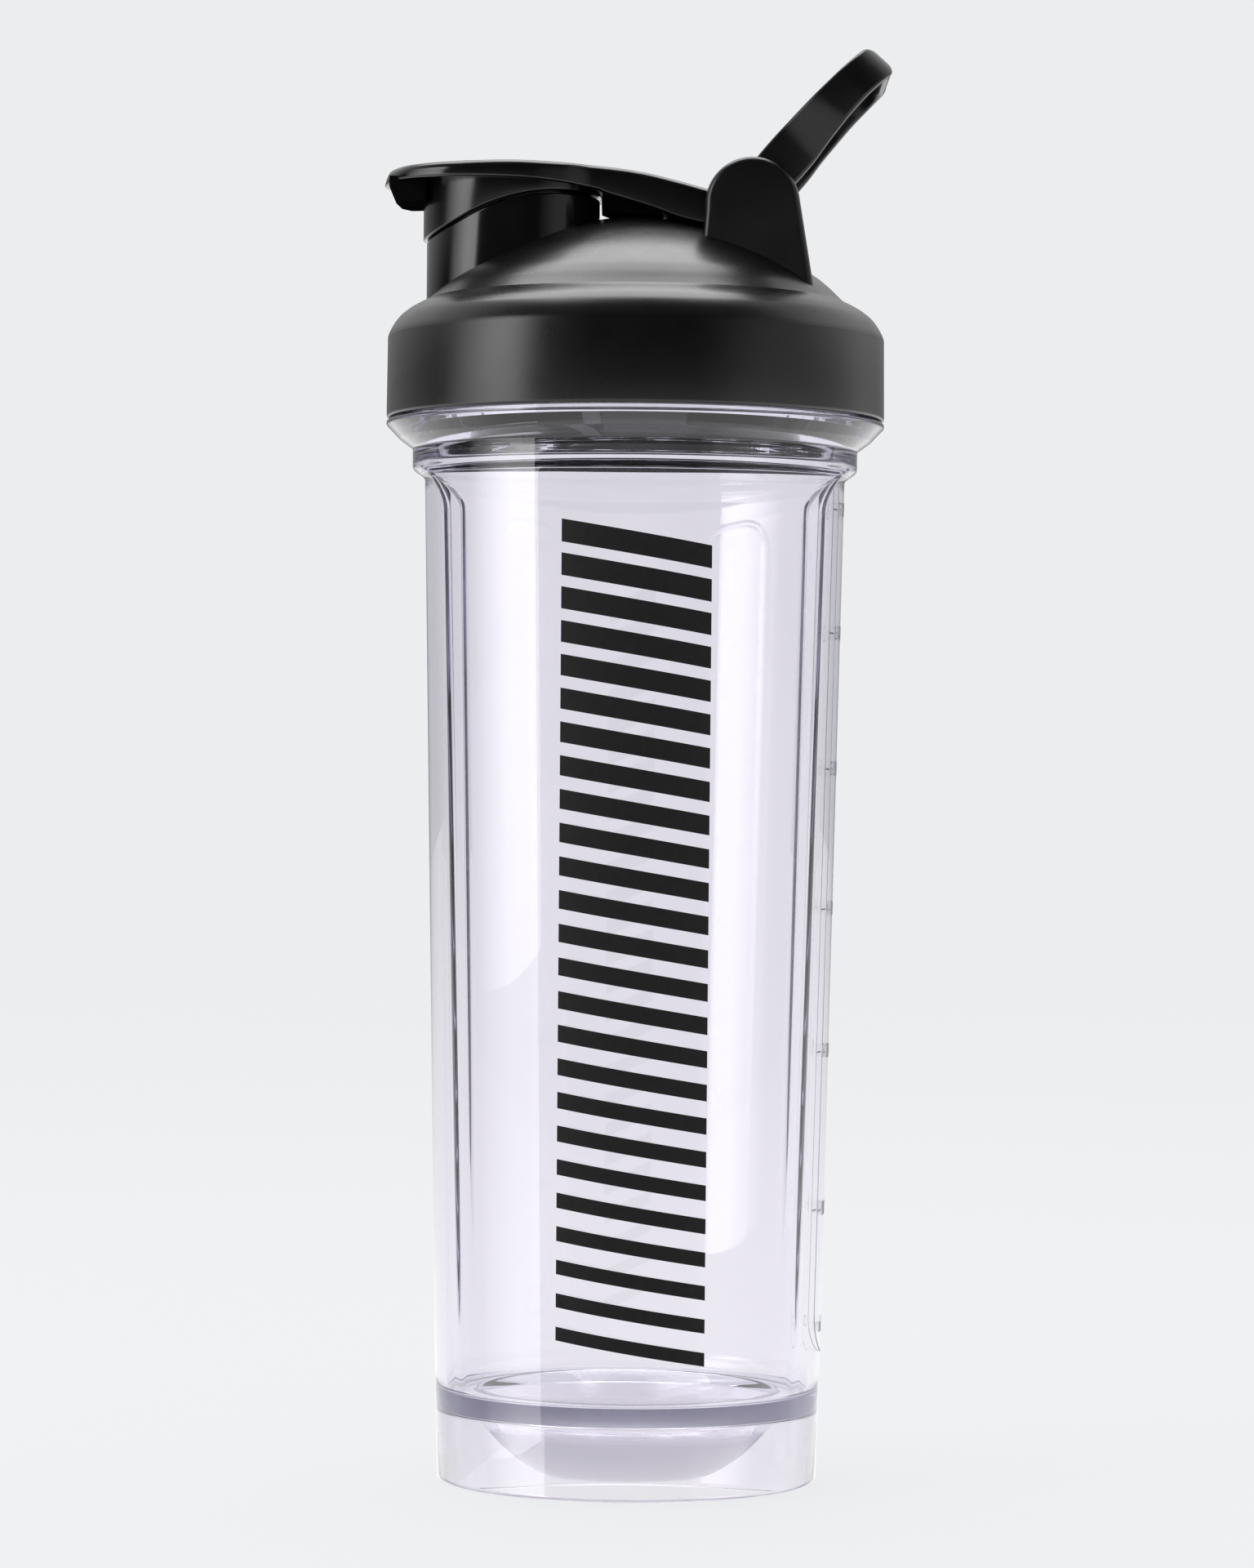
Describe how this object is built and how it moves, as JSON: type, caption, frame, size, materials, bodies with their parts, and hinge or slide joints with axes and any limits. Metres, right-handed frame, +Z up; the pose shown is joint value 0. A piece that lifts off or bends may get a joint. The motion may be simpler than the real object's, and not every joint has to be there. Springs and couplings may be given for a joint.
{
  "type": "shaker bottle",
  "caption": "Clear tapered shaker bottle with grip recesses, a threaded lid with a drinking spout, a hinged flip cap over the spout and a swinging carry loop.",
  "frame": {"origin": "on the bottle's axis, in the plane that it stands on", "axes": "+Z up along the bottle's axis, +X towards the lid's hinge and carry loop, so the spout is on the -X side, and Y along the hinge axis"},
  "size_m": [0.0986, 0.0974, 0.2784],
  "materials": {
    "clear_plastic": "clear with a faint lavender tint, glossy",
    "lid_plastic": "black, fine matte texture, glossy on the spout",
    "cap_plastic": "black, glossy",
    "loop_plastic": "black, satin",
    "silicone": "soft matte silicone"
  },
  "bodies": {
    "bottle": {"bottle_body": "clear_plastic"},
    "gasket": {"lid_gasket": "silicone"},
    "lid": {"lid": "lid_plastic"},
    "cap": {"flip_cap": "cap_plastic", "spout_stopper": "silicone"},
    "loop": {"carry_loop": "loop_plastic"}
  },
  "joints": [
    {"name": "lid_lift", "type": "slide", "parent": "bottle", "child": "gasket", "axis": [0, 0, 1], "range_m": [0, 0.0205]},
    {"name": "lid_turn", "type": "hinge", "parent": "gasket", "child": "lid", "pos_m": [0, 0, 0.2154], "axis": [0, 0, 1], "range_deg": [0, 900]},
    {"name": "flip_cap_hinge", "type": "hinge", "parent": "lid", "child": "cap", "pos_m": [0.0222, 0, 0.2474], "axis": [0, 1, 0], "range_deg": [0, 95]},
    {"name": "carry_loop_hinge", "type": "hinge", "parent": "lid", "child": "loop", "pos_m": [0.0222, 0, 0.2474], "axis": [0, 1, 0], "range_deg": [-3, 75]}
  ],
  "couplings": [
    {"joint": "lid_lift", "follows": "lid_turn", "m_per_rad": 0.0012732}
  ]
}
